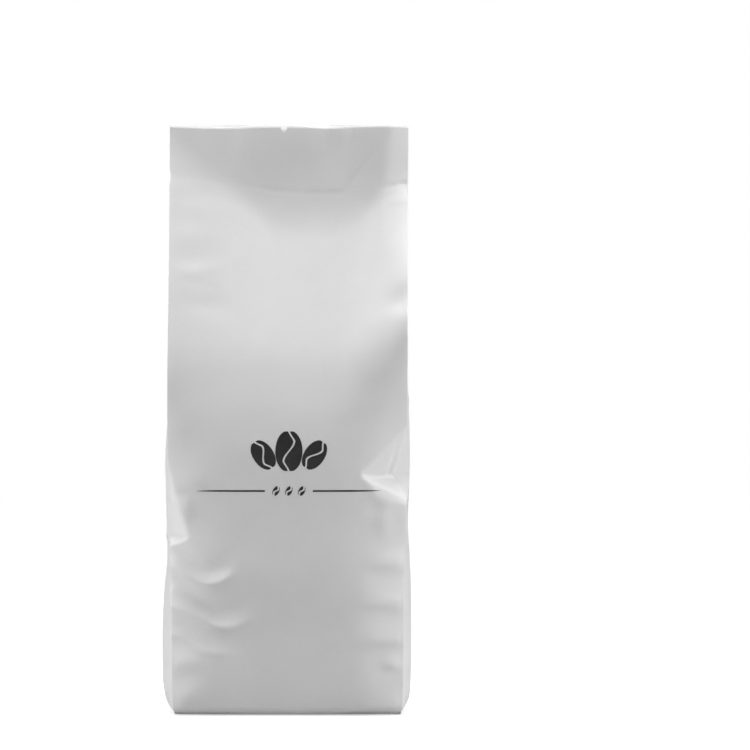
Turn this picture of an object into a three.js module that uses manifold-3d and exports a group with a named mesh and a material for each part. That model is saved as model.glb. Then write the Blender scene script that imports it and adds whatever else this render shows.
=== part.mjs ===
// A filled side-gusset coffee bag, standing on its flattened gable bottom with its top closed.
// Millimetres, +Z up. The origin is the middle of the base, and the front faces -Y.
import * as THREE from 'three';
import { mergeVertices } from 'three/addons/utils/BufferGeometryUtils.js';
import Module from 'manifold-3d';

// --- Driving dimensions -----------------------------------------------------------------------
const WIDTH = 140; // front panel, from corner crease to corner crease
const HEIGHT = 347; // base to top edge
const LIP_HALF = 1.4; // half the thickness of the closed lip at the top edge
const LIP_LEAN = 0.12; // how much deeper the lip gets for each millimetre down
const LEAF = 0.9; // least thickness of film and fill between a panel and the gusset's inner folds
const FOLD_IN = 46; // how far the gusset's middle fold goes in at the top
const BASE_RADIUS = 3; // rounding from the walls into the base

// Knots are [height, value] or [place across, value], and a smooth curve joins them.
const FRONT = {
  lipCrease: [[-1, 332], [-0.64, 320], [-0.3, 306], [-0.1, 300], [0.62, 298], [0.85, 336], [1, 347]],
  slopeMiddle: 0.435,
  slopeCorner: 0.4,
  corner: [[0, 41], [50, 40], [95, 40.5], [150, 45], [205, 49], [260, 50]],
  belly: [[0, 2], [9, 4], [23, 6], [50, 9], [90, 13], [147, 9.5], [192, 4], [240, 2]],
};
const BACK = {
  lipCrease: [[-1, 324], [-0.5, 318], [0, 314], [0.5, 317], [1, 326]],
  slopeMiddle: 0.44,
  slopeCorner: 0.4,
  corner: [[0, 40], [50, 40], [95, 41], [150, 44], [205, 47], [260, 48]],
  belly: [[0, 1], [9, 2.5], [23, 4], [50, 6], [90, 8], [147, 7], [192, 3], [240, 1]],
};
const SIDE = {
  half: [[0, 66.5], [5, 67.2], [21, 67.6], [60, 68], [100, 68.6], [154, 70], [240, 70.2], [347, 71]],
  bulge: [[0, 1.5], [9, 4.5], [32, 6.5], [60, 5.6], [100, 4], [140, 4], [171, 3], [200, 0], [347, 0]],
  fold: [[174, 0], [190, 3], [209, 8], [220, 13.5], [236, 23], [252, 31], [266, 36.5], [290, 43],
    [310, 45.5], [330, FOLD_IN], [347, FOLD_IN]],
  pinch: [[174, 1], [262, 1], [284, 2.1], [347, 2]], // 1 is a straight V, 2 has near-parallel walls
  ridgeRise: 34, // the shoulder ridge climbs this much from the middle of the gusset to its corners
};
const FIN = { width: 10, root: 0.9, edge: 2.5, fromBase: 6 }; // back seam, folded over to -X
const POCKET = { middle: 1.5, back: 7, fade: 0.7, below: 26, tuck: 1.5 }; // under the lifted gusset edge
const NOTCH = { x: -2.9, width: 3.6, straight: 1.4, depth: 3.6 }; // tear notch in the top edge
const SWAY = { size: 1.5, wave: 37, below: 300 }; // the closed lip waves from side to side
const SHOULDER_SOFT = 10;
const LIP_SOFT = 2.5;

// Dents at a corner crease: how far it goes in, and how far the dent reaches over both faces.
const CORNER_DENTS = [
  { side: -1, face: -1, z: 104, above: 48, below: 4, inX: 9.5, inY: 2, onPanel: 15, onGusset: 34 },
  { side: 1, face: -1, z: 139, above: 26, below: 7, inX: 7.5, inY: 5, onPanel: 30, onGusset: 16 },
  { side: -1, face: 1, z: 98, above: 14, below: 12, inX: 4, inY: 2, onPanel: 22, onGusset: 22 },
  { side: 1, face: 1, z: 122, above: 26, below: 9, inX: 5, inY: 3, onPanel: 26, onGusset: 18 },
];

// --- Mesh density -----------------------------------------------------------------------------
const PANEL_STEPS = 26;
const GUSSET_STEPS = 8; // on each side of the middle fold
const FIN_STEPS = 2;
const ROW_STEP = 8.5;
const ROW_STOPS = [3, 14, 100, 104, 132, 139, 209, 298, 347]; // heights that have a row of their own

// --- Small helpers ----------------------------------------------------------------------------
const { clamp, lerp, smoothstep } = THREE.MathUtils;

/** A smooth curve through knots that never overshoots them. */
function curve(knots) {
  const slopes = knots.slice(1).map((k, i) => (k[1] - knots[i][1]) / (k[0] - knots[i][0]));
  const tangents = knots.map((_, i) => {
    const before = slopes[Math.max(i - 1, 0)];
    const after = slopes[Math.min(i, slopes.length - 1)];
    return before * after > 0 ? (2 * before * after) / (before + after) : 0;
  });
  return (at) => {
    const x = clamp(at, knots[0][0], knots[knots.length - 1][0]);
    const i = Math.max(0, knots.findLastIndex((k, n) => k[0] <= x && n < knots.length - 1));
    const [x0, y0] = knots[i];
    const [x1, y1] = knots[i + 1];
    const h = x1 - x0;
    const t = (x - x0) / h;
    const s = 1 - t;
    return y0 * (1 + 2 * t) * s * s + tangents[i] * h * t * s * s
      + y1 * (3 - 2 * t) * t * t - tangents[i + 1] * h * t * t * s;
  };
}

/** The smaller of a and b, with the crease between them rounded over a difference of soft. */
function softMin(a, b, soft) {
  const near = Math.max(soft - Math.abs(a - b), 0) / soft;
  return Math.min(a, b) - (near * near * soft) / 4;
}

const softMax = (a, b, soft) => -softMin(-a, -b, soft);

// --- Panels -----------------------------------------------------------------------------------
/** How far a panel stands off the bag's middle plane: lip, sloping shoulder and upright wall. */
function panel(shape) {
  const crease = curve(shape.lipCrease);
  const corner = curve(shape.corner);
  const belly = curve(shape.belly);
  return (across, z) => {
    const lip = (height) => LIP_HALF + (HEIGHT - height) * LIP_LEAN;
    const top = crease(across);
    const slope = lerp(shape.slopeMiddle, shape.slopeCorner, across * across);
    const shoulder = lip(Math.min(top, HEIGHT)) + (top - z) * slope;
    const wall = corner(z) + belly(z) * (1 - across * across);
    return softMin(softMax(lip(z), shoulder, LIP_SOFT), wall, SHOULDER_SOFT);
  };
}

const frontDepth = panel(FRONT);
const backDepth = panel(BACK);
const sideHalf = curve(SIDE.half);
const sideBulge = curve(SIDE.bulge);
const foldDepth = curve(SIDE.fold);
const foldPinch = curve(SIDE.pinch);

/** Both films of the closed lip wave together, most at the top edge. */
function sway(x, z) {
  const fade = smoothstep(z, SWAY.below, HEIGHT);
  return SWAY.size * fade * Math.sin(x / (SWAY.wave / (2 * Math.PI)));
}

/** The back seam's fin, folded flat over the back panel from its middle towards -X. */
function fin(fromMiddle, z) {
  if (fromMiddle > 0 || fromMiddle < -FIN.width) return 0;
  return lerp(FIN.root, FIN.edge, -fromMiddle / FIN.width) * smoothstep(z, 0, FIN.fromBase);
}

/** How much a corner dent moves a point that lies off from its corner crease: 1 at its middle. */
function dentShare(dent, off, reach, z) {
  const rise = z > dent.z ? (z - dent.z) / dent.above : (dent.z - z) / dent.below;
  return Math.max(0, 1 - rise - off / reach);
}

function applyDents(point, face, side, offCorner, onGusset) {
  for (const dent of CORNER_DENTS) {
    if (dent.face !== face || dent.side !== side) continue;
    const share = dentShare(dent, offCorner, onGusset ? dent.onGusset : dent.onPanel, point.z);
    point.x -= side * dent.inX * share;
    point.y -= face * dent.inY * share;
  }
  return point;
}

/** A point of the front (face -1) or back (face 1) panel; across runs from -1 to 1. */
function panelPoint(face, across, z) {
  const x = across * sideHalf(z);
  const depth = face < 0 ? frontDepth(across, z) : backDepth(across, z);
  const y = face * (depth + (face > 0 ? fin((across * WIDTH) / 2, z) : 0)) + sway(x, z);
  const side = across < 0 ? -1 : 1;
  return applyDents(new THREE.Vector3(x, y, z), face, side, (1 - Math.abs(across)) * WIDTH / 2, false);
}

/** A point of a gusset: out runs from 0 at the middle fold to 1 at the corner crease. */
function gussetPoint(side, face, out, z) {
  const depth = face < 0 ? frontDepth : backDepth;
  const cornerDepth = depth(side, z);
  const ridge = SIDE.ridgeRise * Math.pow(out, 1.2) * (1 - smoothstep(z, 208, 250));
  const inward = foldDepth(z - ridge) * (1 - out);
  const across = Math.pow(out, foldPinch(z));
  const bulge = sideBulge(z) * (1 - out * out);
  const x = side * (sideHalf(z) + bulge - inward);
  const room = depth(clamp(x / sideHalf(z), -1, 1), z) - LEAF * (1 - out);
  const y = face * Math.min(cornerDepth * across, room) + sway(x, z);
  const off = (1 - out) * cornerDepth;
  return applyDents(new THREE.Vector3(x, y, z), face, side, off, true);
}

// --- Walls ------------------------------------------------------------------------------------
/** Places across the back panel, from +X to -X, with the fin's edges among them. */
function backPlaces() {
  const half = WIDTH / 2;
  const places = [];
  const sideSteps = (PANEL_STEPS - FIN_STEPS) / 2;
  for (let i = 0; i < sideSteps; i++) places.push(lerp(1, 0.6 / half, i / (sideSteps - 1)));
  for (let i = 0; i <= FIN_STEPS; i++) places.push(-(i * FIN.width * 0.999) / FIN_STEPS / half);
  for (let i = 0; i < sideSteps; i++) places.push(lerp(-(FIN.width + 0.4) / half, -1, i / (sideSteps - 1)));
  return places;
}

/** Every column of the wall, with its points by height, anticlockwise seen from above. */
function columns() {
  const list = [];
  const panelColumn = (face, place) => {
    list.push({ gusset: false, face, place, at: (z) => panelPoint(face, place, z) });
  };
  const gussetColumn = (side, face, place) => {
    list.push({ gusset: true, face, place, at: (z) => gussetPoint(side, face, place, z) });
  };
  for (let i = 0; i < PANEL_STEPS; i++) panelColumn(-1, -1 + (2 * i) / PANEL_STEPS);
  for (let i = 0; i <= GUSSET_STEPS; i++) gussetColumn(1, -1, 1 - i / GUSSET_STEPS);
  for (let i = 1; i < GUSSET_STEPS; i++) gussetColumn(1, 1, i / GUSSET_STEPS);
  for (const place of backPlaces()) panelColumn(1, place);
  for (let i = 1; i <= GUSSET_STEPS; i++) gussetColumn(-1, 1, 1 - i / GUSSET_STEPS);
  for (let i = 1; i < GUSSET_STEPS; i++) gussetColumn(-1, -1, i / GUSSET_STEPS);
  return list;
}

/** Wall heights: the base's rounding first, then even steps between the stops. */
function rowHeights() {
  const rows = [0, BASE_RADIUS / 3, ROW_STOPS[0]];
  ROW_STOPS.slice(1).forEach((stop, i) => {
    const start = ROW_STOPS[i];
    const steps = Math.ceil((stop - start) / ROW_STEP);
    for (let step = 1; step <= steps; step++) rows.push(lerp(start, stop, step / steps));
  });
  return rows;
}

/** How far the wall's bottom edge is lifted: from nothing at the front to most at the back corners. */
function edgeLift(column) {
  if (column.gusset) {
    return column.face < 0 ? POCKET.middle * (1 - column.place) : lerp(POCKET.middle, POCKET.back, column.place);
  }
  return column.face < 0 ? 0 : POCKET.back * smoothstep(Math.abs(column.place), POCKET.fade, 1);
}

/** Near the base the wall turns in along a rounding, and its lifted edge leaves a pocket below. */
function wallPoint(column, z) {
  const point = column.at(z);
  const lift = edgeLift(column);
  const down = clamp(1 - z / BASE_RADIUS, 0, 1);
  const inward = BASE_RADIUS * (1 - Math.sqrt(1 - down * down)) * 0.6 + (z === 0 ? lift * POCKET.tuck : 0);
  point.x -= Math.sign(point.x) * (column.gusset || Math.abs(column.place) === 1 ? inward : 0);
  point.y -= column.face * (column.gusset && column.place < 1 ? 0 : inward);
  if (z > 0) point.z += lift * clamp(1 - z / POCKET.below, 0, 1);
  return point;
}

// --- Solid ------------------------------------------------------------------------------------
function bagGeometry() {
  const cols = columns();
  const rows = rowHeights().map((z) => cols.map((column) => wallPoint(column, z)));
  const positions = rows.flat().flatMap((p) => [p.x, p.y, p.z]);
  const index = [];
  const n = cols.length;
  for (let r = 0; r + 1 < rows.length; r++) {
    for (let c = 0; c < n; c++) {
      const [a, b] = [r * n + c, r * n + ((c + 1) % n)];
      index.push(a, b, b + n, a, b + n, a + n);
    }
  }
  const outline = (row) => row.map((p) => new THREE.Vector2(p.x, p.y));
  for (const [a, b, c] of THREE.ShapeUtils.triangulateShape(outline(rows[0]), [])) index.push(c, b, a);
  const lastRow = (rows.length - 1) * n;
  for (const [a, b, c] of THREE.ShapeUtils.triangulateShape(outline(rows[rows.length - 1]), [])) {
    index.push(lastRow + a, lastRow + b, lastRow + c);
  }
  const geometry = new THREE.BufferGeometry();
  geometry.setAttribute('position', new THREE.Float32BufferAttribute(positions, 3));
  geometry.setIndex(index);
  return geometry;
}

/** The tear notch's cutter: a short straight slot that ends in a V. */
function notchGeometry() {
  const half = NOTCH.width / 2;
  const top = 2;
  const shape = new THREE.Shape();
  shape.moveTo(-half, top);
  shape.lineTo(-half, -NOTCH.straight);
  shape.lineTo(0, -NOTCH.depth);
  shape.lineTo(half, -NOTCH.straight);
  shape.lineTo(half, top);
  const reach = 20;
  const geometry = new THREE.ExtrudeGeometry(shape, { depth: reach, bevelEnabled: false });
  geometry.rotateX(Math.PI / 2);
  geometry.translate(NOTCH.x, reach / 2, HEIGHT);
  return geometry;
}

const wasm = await Module();
wasm.setup();

function toSolid(geometry) {
  const bare = geometry.clone();
  bare.deleteAttribute('normal');
  bare.deleteAttribute('uv');
  const merged = mergeVertices(bare);
  return new wasm.Manifold(new wasm.Mesh({
    numProp: 3,
    vertProperties: new Float32Array(merged.attributes.position.array),
    triVerts: new Uint32Array(merged.index.array),
  }));
}

function toGeometry(solid) {
  const mesh = solid.getMesh();
  const geometry = new THREE.BufferGeometry();
  geometry.setAttribute('position', new THREE.BufferAttribute(mesh.vertProperties, 3));
  geometry.setIndex(new THREE.BufferAttribute(mesh.triVerts, 1));
  geometry.computeVertexNormals();
  return geometry;
}

const film = new THREE.MeshStandardMaterial({ color: 0xdcdde0, roughness: 0.45, metalness: 0 });
const bag = new THREE.Mesh(toGeometry(toSolid(bagGeometry()).subtract(toSolid(notchGeometry()))), film);
bag.name = 'bag';

const group = new THREE.Group();
group.add(bag);

export default group;
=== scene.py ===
import math
import random
from collections import namedtuple
from functools import lru_cache

import bpy
import numpy as np
from bpy.props import FloatProperty, FloatVectorProperty, IntProperty, PointerProperty
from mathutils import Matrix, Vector


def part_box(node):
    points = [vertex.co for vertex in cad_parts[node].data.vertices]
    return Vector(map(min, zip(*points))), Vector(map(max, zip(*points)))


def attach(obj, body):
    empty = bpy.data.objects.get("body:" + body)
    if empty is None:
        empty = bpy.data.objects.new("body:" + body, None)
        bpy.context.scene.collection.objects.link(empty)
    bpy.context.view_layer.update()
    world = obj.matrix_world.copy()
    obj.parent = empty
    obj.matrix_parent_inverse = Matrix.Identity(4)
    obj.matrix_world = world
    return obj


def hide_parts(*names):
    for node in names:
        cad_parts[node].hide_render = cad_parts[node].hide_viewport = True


bl_info = {
    "name": "Side-gusset coffee bag",
    "version": (1, 0, 0),
    "blender": (4, 5, 0),
    "location": "View3D > Sidebar > Coffee Bag",
    "description": "Builds a filled coffee bag in matte white film, its seams, its print and its stage",
    "category": "Add Mesh",
}

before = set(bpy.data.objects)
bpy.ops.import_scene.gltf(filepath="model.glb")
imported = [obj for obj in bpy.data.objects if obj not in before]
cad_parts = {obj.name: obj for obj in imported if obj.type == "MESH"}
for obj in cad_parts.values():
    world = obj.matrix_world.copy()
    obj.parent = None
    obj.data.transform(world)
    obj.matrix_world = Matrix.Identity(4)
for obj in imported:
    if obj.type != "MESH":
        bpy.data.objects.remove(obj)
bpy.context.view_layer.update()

# Shapes are worked out in millimetres and written to the meshes in metres.
MM = 0.001
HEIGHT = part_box("bag")[1].z / MM
HALF_WIDTH = 70.0  # flat panel, from its middle to a corner crease
GUSSET_HALF = 46.0  # flat gusset, from its middle to a corner crease

# --- Form of the bag, as [place across or height, value] knots ---
# A panel runs from its closed lip down a straight shoulder to the shoulder's foot, then down a wall.
Facet = namedtuple("Facet", "start end slope soft")  # film that falls away to the right of a line
FACET_GROWS = (-0.06, 0.1)  # shares of its line over which a facet grows, and over which it fades
FACET_FADES = (0.75, 1.15)
FRONT = {
    "start": [[-1, 331], [-0.75, 319], [-0.5, 309], [-0.3, 301], [-0.1, 294], [0.1, 293], [0.5, 294],
              [0.65, 298], [0.8, 308], [0.9, 313], [1, 316]],
    "foot": [[-1, 198], [-0.65, 191], [0, 189], [0.35, 192], [0.6, 205], [1, 232]],
    "facets": (Facet((41, 136), (72, 230), 0.23, 7),),
    "corner": [[0, 41], [50, 40], [95, 40.5], [150, 45], [205, 49], [260, 50]],
    "belly": [[0, 3.4], [9, 4.6], [23, 6.3], [50, 9], [90, 13], [147, 10], [175, 6], [200, 2.5],
              [240, 2]],
}
BACK = {
    "start": [[-1, 338], [-0.5, 311], [0, 300], [0.5, 309], [1, 340]],
    "foot": [[-1, 214], [-0.5, 200], [0, 194], [0.5, 200], [1, 218]],
    "facets": (Facet((-44, 150), (-54, -30), 0.08, 7), Facet((56, -30), (46, 150), 0.08, 7)),
    "corner": [[0, 40], [50, 40], [95, 41], [150, 44], [205, 47], [260, 48]],
    "belly": [[0, 1], [9, 2.5], [23, 4], [50, 6], [90, 8], [147, 7], [192, 3], [240, 1]],
}
BELLY_POWER = (3.2, 2.6)  # a panel is flat in its middle and rounds off to its left and right creases
SIDE_HALF = [[0, 66.5], [5, 67.2], [21, 67.6], [60, 68], [100, 68.6], [154, 70], [240, 70.2], [347, 71]]
SIDE_BULGE = {
    -1: [[0, 2.5], [9, 6.2], [22, 7.4], [45, 7.3], [68, 6.2], [92, 3.8], [115, 3.5], [139, 3.1],
         [162, 1.4], [185, 0]],
    1: [[0, 1.5], [9, 4.3], [22, 4.8], [45, 4.9], [68, 4.5], [92, 3.2], [115, 1.6], [139, 1.8],
        [162, 1.6], [200, 0]],
}
FOLD_IN = 46.0  # how far the gusset's middle fold goes in at the top
FOLD_DEPTH = [[172, 0], [176, 1], [184, 4.5], [196, 9], [209, 12], [222, 15.5], [236, 22], [252, 31],
              [266, 36.5], [290, 43], [310, 45.5], [330, FOLD_IN], [347, FOLD_IN]]
FOLD_PINCH = [[174, 1], [258, 1], [276, 1.7], [290, 2.0], [347, 2.3]]  # 1 a straight V, 2 near-parallel
RIDGE_RISE = 34.0  # the shoulder ridge climbs this much from the gusset's middle to its corners
RIDGE_POWER = 1.2
RIDGE_GONE = (208.0, 250.0)  # between these heights the ridge dies away
LIP_SEALED = 0.35  # half the thickness of the lip's top edge in its middle, and over the gussets
LIP_SIDE = 1.2
LIP_THICKENS = (0.3, 0.9)  # places across between which it thickens
LIP_LEAN = 0.045  # how much deeper the lip gets for each millimetre down
LEAF = 0.25  # a single film, where the two walls of a gusset would touch
LIP_SOFT = [[-1, 4.5], [-0.35, 3], [-0.1, 6], [0.45, 6], [0.7, 3], [1, 3]]  # rounding under the lip
SHOULDER_SOFT = {"middle": 13.0, "sides": 9.0, "power": 3}  # rounding at the shoulder's foot
# Both films of the closed lip wander together, and its right end is bent back beyond a leaning line.
SWAY = [[-70, 0.5], [-56, 0.3], [-44, 0], [-35, 0], [-22, -2.2], [-12, -3.1], [0, -3.3], [10, -3.1],
        [20, -1.3], [25, -1.0], [30, -1.1], [38, -2.6], [46, -3.2], [70, -3.2]]
SWAY_BELOW = 310.0
LIP_TURN = {"x": 54.5, "z": 304.0, "lean": 0.13, "slope": 0.43, "soft": 4.0, "from": 215.0, "to": 318.0}
# The tear notch: its ends go straight down, over a run of edge, then it slopes to a point at depth.
NOTCH = {"x": -2.9, "width": 3.6, "straight": 1.4, "depth": 3.6, "fade": 14.0, "edge": 0.03}

# Bottom: the walls turn under, and at the sides the gusset's edge stands clear of the flap below it.
BASE_RADIUS = 3.0
BASE_ROWS = 5  # rows of the rounding
BASE_TURN = 0.6
POCKET = {"middle": 1.5, "back": 7.0, "fade": 0.7, "below": 26.0, "deep": 26.0, "tuck": 1.2, "gap": 0.3,
          "slope": 0.5, "rows": (0.33, 0.66, 1.0)}
FLAP = {"top": 1.1, "under": 0.7, "inset": 0.5, "clear": 0.15, "clear_below": 6.0, "crown": 0.1,
        "rows": (0.9, 0.6, 0.3, 0.0), "rows_under": 10}

# A dent in a corner crease: how far it goes in, and how far it reaches up, down and over both faces.
CornerDent = namedtuple("CornerDent", "side face z above below in_x in_y on_panel on_gusset sweep")
CORNER_DENTS = (
    CornerDent(-1, -1, 104, 48, 5, 9.5, 0.4, 14, 34, 1.7),
    CornerDent(1, -1, 140, 30, 12, 8.5, 5.2, 29, 40, 1.0),
    CornerDent(-1, 1, 98, 14, 12, 4, 2, 22, 22, 1.0),
    CornerDent(1, 1, 122, 34, 15, 5, 3, 26, 18, 1.3),
    CornerDent(1, -1, 312, 4, 7, 1.0, 0.6, 9, 6, 1.0),
    CornerDent(-1, -1, 317, 4, 5, 0.7, 0.4, 7, 6, 1.0),
    CornerDent(-1, -1, 77, 3, 5, 1.0, 0.6, 5, 8, 1.0),
)
TOP_EDGE = [[-1, 0], [-0.6, 1.0], [-0.2, 0.4], [0, 0.3], [0.35, 1.0], [0.65, 0.1], [1, 0]]  # cut uneven

# Relief on a face, in millimetres: across runs towards +X on a panel and towards the front on a gusset.
# A dent with a depth below 0 stands out, and a line with a height below 0 is a valley.
Dent = namedtuple("Dent", "across z wide above below depth bend tilt", defaults=(0, 0))
Fold = namedtuple("Fold", "start end width height")  # a straight crest, highest at its start
Line = namedtuple("Line", "points width height")  # a crest along a curve
Hollow = namedtuple("Hollow", "points above below depth")  # deepest along a curve, fading above and below

FRONT_RELIEF = (
    # the closed lip: its crease, and faint flutes down from the top edge
    Line([[-30, 312], [2, 307.6], [30, 307], [43, 322], [60, 344]], 1.6, -0.45),
    Line([[-70, 314], [-54, 316], [-34, 311]], 4, -0.15), Fold((-29, 347), (-27, 318), 6, 0.5),
    Fold((19, 347), (17, 318), 4, 0.5), Dent(37, 344, 7, 12, 12, -0.8),
    # the sloping shoulder
    Dent(-56, 304, 18, 8, 7, 0.3), Dent(-58, 290, 14, 10, 9, 0.5), Dent(-56, 268, 14, 13, 8, 0.7, 2, 0.1),
    Line([[-66, 256], [-60, 258], [-32, 265]], 9, 0.22),
    Line([[-66, 258], [-59, 255], [-38, 248]], 7, -0.2), Dent(-46, 240, 18, 8, 8, 0.5, 0, -0.1),
    Line([[54, 310], [71, 314]], 1.8, -0.7), Dent(67, 302, 9, 4, 3, -0.3),
    Dent(70, 244, 14, 10, 9, 2.5, 0, 0.3), Dent(-64, 186, 10, 12, 9, 0.4),
    # beside the upper corner folds
    Dent(-62, 168, 9, 9, 8, -0.5), Dent(-56, 136, 15, 12, 8, -1.3), Dent(-61, 130, 9, 4, 4, 0.5),
    Dent(-62, 120, 9, 8, 7, -1.1), Fold((-58, 128), (-60, 104), 6, 0.3),
    Fold((42, 142), (59, 121), 4, 0.8), Fold((66, 138), (68, 166), 2.6, -0.8),
    Dent(52, 121, 6, 6, 5, 0.5), Dent(57, 114, 7, 9, 11, -0.9),
    # beans have pulled the film in beside the lower corners
    Hollow([[-92, 99], [-68, 95], [-60, 90.5], [-54, 87], [-47, 85], [-41, 85.5], [-32, 89]], 9, 5, 1.7),
    Line([[-92, 90], [-68, 86.5], [-60, 82], [-54, 79], [-47, 77.2], [-41, 78], [-32, 83]], 4.5, 1.9),
    Hollow([[-96, 75], [-68, 73], [-58, 70], [-50, 66], [-42, 62], [-35, 61], [-23, 65]], 7, 6, 1.5),
    Line([[-96, 65], [-68, 63], [-58, 60], [-50, 56], [-42, 52.5], [-35, 52], [-23, 56]], 5, 2.0),
    Line([[-94, 50], [-68, 47], [-58, 42], [-50, 38], [-30, 36]], 5, 1.0), Dent(-64, 47, 12, 5, 4, -0.4),
    Dent(-62, 31, 12, 8, 6, -1.6), Dent(-62, 11, 12, 9, 8, -1.7), Dent(-67, 0, 9, 8, 9, -1.4),
    Dent(62, 89, 17, 10, 6, -1.6), Dent(60, 66, 18, 10, 5, -1.7), Dent(60, 44, 18, 10, 5, -1.7),
    Dent(63, 30, 8, 7, 4, -1.2), Dent(64, 5, 10, 8, 6, -1.3),
    # the panel rounds off earlier low down
    Dent(43, 50, 23, 52, 55, -3.0), Dent(45, 14, 21, 24, 26, -1.4), Dent(-45, 28, 21, 26, 40, -3.0),
)
LEFT_RELIEF = (
    Line([[-46, 52], [-20, 53]], 3.5, 0.9), Dent(-33, 60, 12, 9, 6, 1.0), Dent(-34, 84, 12, 10, 8, -0.5),
    Dent(28, 92, 18, 10, 7, 1.4, 3), Line([[6, 104.5], [26, 103], [44, 99]], 4, 0.8),
    Dent(30, 62, 11, 11, 9, 0.9), Dent(32, 38, 12, 9, 8, -0.7), Dent(34, 14, 12, 9, 8, -0.9),
    Dent(-36, 24, 10, 10, 9, -0.7), Dent(-32, 128, 9, 30, 26, -0.8), Dent(33, 150, 9, 24, 18, -0.8),
    Dent(16, 186, 12, 7, 6, -0.6), Dent(-14, 184, 13, 6, 5, -0.6),
)
RIGHT_RELIEF = (
    Dent(30, 118, 14, 10, 7, 1.1, 2), Dent(-30, 88, 13, 10, 7, 1.2, 2), Dent(28, 66, 12, 10, 8, 0.9),
    Dent(-30, 40, 12, 9, 8, 0.9), Dent(-28, 156, 10, 20, 18, -0.8), Dent(24, 30, 12, 8, 7, -0.8),
    Line([[18, 121], [44, 128]], 4, 0.8), Line([[-44, 97], [-16, 93]], 4, 0.7),
    Dent(-15, 187, 13, 6, 6, -0.6), Dent(15, 185, 12, 7, 5, -0.6),
)
BACK_RELIEF = (
    Dent(-50, 104, 17, 12, 8, 2.0, 3), Dent(-54, 76, 16, 10, 7, 1.6, 3), Dent(-58, 36, 12, 9, 8, -1.0),
    Dent(54, 92, 18, 12, 7, 2.2, 4), Dent(50, 64, 16, 10, 7, 1.5, 3), Dent(60, 32, 12, 9, 8, -1.0),
    Dent(-56, 262, 16, 12, 8, 1.4), Dent(58, 276, 13, 16, 10, 1.2), Dent(48, 226, 20, 12, 10, -0.8),
    Dent(-50, 214, 18, 10, 9, -0.8), Line([[-68, 255], [-34, 264]], 5, 0.6),
    Dent(60, 150, 9, 20, 18, -1.0), Line([[38, 254], [68, 262]], 5, 0.6),
    Line([[-30, 310], [30, 309]], 1.8, -0.3), Dent(-60, 150, 9, 20, 18, -1.0),
    Fold((-30, 347), (-28, 318), 6, 0.5), Fold((24, 347), (26, 320), 6, 0.5),
)
CRUMPLE = {"seed": 7, "low": 8.0, "high": 150.0, "step": 8.5, "spacing": (0.5, 1.5), "angle": 38.0,
           "reach": (7.0, 20.0), "width": (2.0, 3.8), "height": (0.12, 0.42), "front": 0.35}
CREST = {"sharp": 2.6, "round": 0.2}  # the section of a fold's or a line's crest
DENT_SPREAD = 1.6  # how steeply a dent or a hollow fades over its stated reach
FOLD_WIDENS = 0.6  # a fold is this share wider at its far end
FOLD_GROWS = (-0.12, 0.12)  # shares of its length over which a fold grows, and over which it fades
FOLD_FADES = (0.35, 1.0)
LINE_FADE = 0.22  # share of a line's length over which each end fades
RELIEF_FROM = 4.0  # relief grows from nothing at the bottom edge to its full height here
MIDDLE_CREASE = {"width": 1.2, "depth": 0.22}  # pressed line down the middle of each gusset
CREASE_COLUMNS = (0.3, 0.8)  # distances of the extra columns beside a crease, to keep it sharp
CREASE_WEAR = 1.6  # how far the worn look of a crease spreads
CREASE_FADE = 3.0  # this near a corner crease, relief only moves the film to the front or the back
FOLLOW = 1.5  # how fast a gusset stops following its corner crease
CROWDED = 0.4  # even columns nearer to the tear notch than this share of a step are left out

# --- Seams, print, floor, lights and camera ---
Swing = namedtuple("Swing", "size length")  # a to-and-fro along a seam; a whole one is 2 pi lengths
FIN = {"low": 1.6, "top": 0.4, "rows": 150, "steps": 9, "root": 0.15, "film": 0.3, "sunk": -0.2,
       "bend": 0.02, "wander": Swing(0.25, 31.0), "wave": Swing(0.22, 23.0), "ripple": Swing(0.12, 6.1)}
BOTTOM_SEAL = {"half": 65.5, "root": 2.0, "thick": 0.55, "thins": 0.12, "ripple": Swing(0.04, 5.3),
               "under": 0.02, "pitch": 2.4, "tooth": 0.9, "steps": 4, "worn": 4}
INK = {"proud": 0.09, "sunk": -0.05}
BEAN = {"rows": 49, "steps": 9, "round": 0.92, "groove": 1.1, "groove_swing": 0.2, "groove_grows": 1.6,
        "groove_least": 0.2}
# The emblem's beans: up, down, pitch and the small bean's length in millimetres, tilt in radians, the
# small bean's width as a share of its own length and the rest as shares of the middle bean's length.
MIDDLE_BEAN = {"up": 0.6, "width": 0.66}
SIDE_BEAN = {"off": 0.62, "down": 1.6, "length": 0.78, "width": 0.5, "tilt": 0.6}
SMALL_BEAN = {"length": 6.0, "width": 0.62, "tilt": 0.5, "pitch": 7.5}
RULE = {"thick": 1.0, "gap": 14.0, "rows": 61, "steps": 3, "taper": 6}
FLOOR = {"half": 4000.0, "mottle": 60.0, "uneven": 0.01, "rough": 0.85, "glow_from": 0.15, "glow_to": 1.2}

LIGHTS = {  # each light's place, target and size in metres; StudioSetup has the powers
    "overhead": ((0.15, -0.1, 1.5), (0, -0.03, 0.2), (1.2, 0.5)),
    "left": ((-1.15, -0.08, 0.6), (0, 0, 0.12), (0.5, 0.6)),
    "right": ((1.15, -0.08, 0.6), (0, 0, 0.12), (0.5, 0.6)),
    "left_high": ((-0.9, -0.3, 1.0), (0, 0, 0.2), (0.5, 0.5)),
    "right_high": ((0.8, -0.4, 1.0), (0, 0, 0.2), (0.5, 0.5)),
    "fill": ((0, -1.4, 0.12), (0, 0, 0.12), (1.4, 0.2)),
    "back": ((-0.4, 1.3, 0.8), (0, 0, 0.15), (0.8, 0.5)),
}
# The render's side and places in pixels, the lens and sensor in millimetres, the plane in metres.
CAMERA = {"lens": 200, "sensor": 36, "side": 750, "pixels_per_mm": 1.7145, "axis_x": 287.5,
          "floor_y": 716.0, "plane_y": -0.045}


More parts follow.
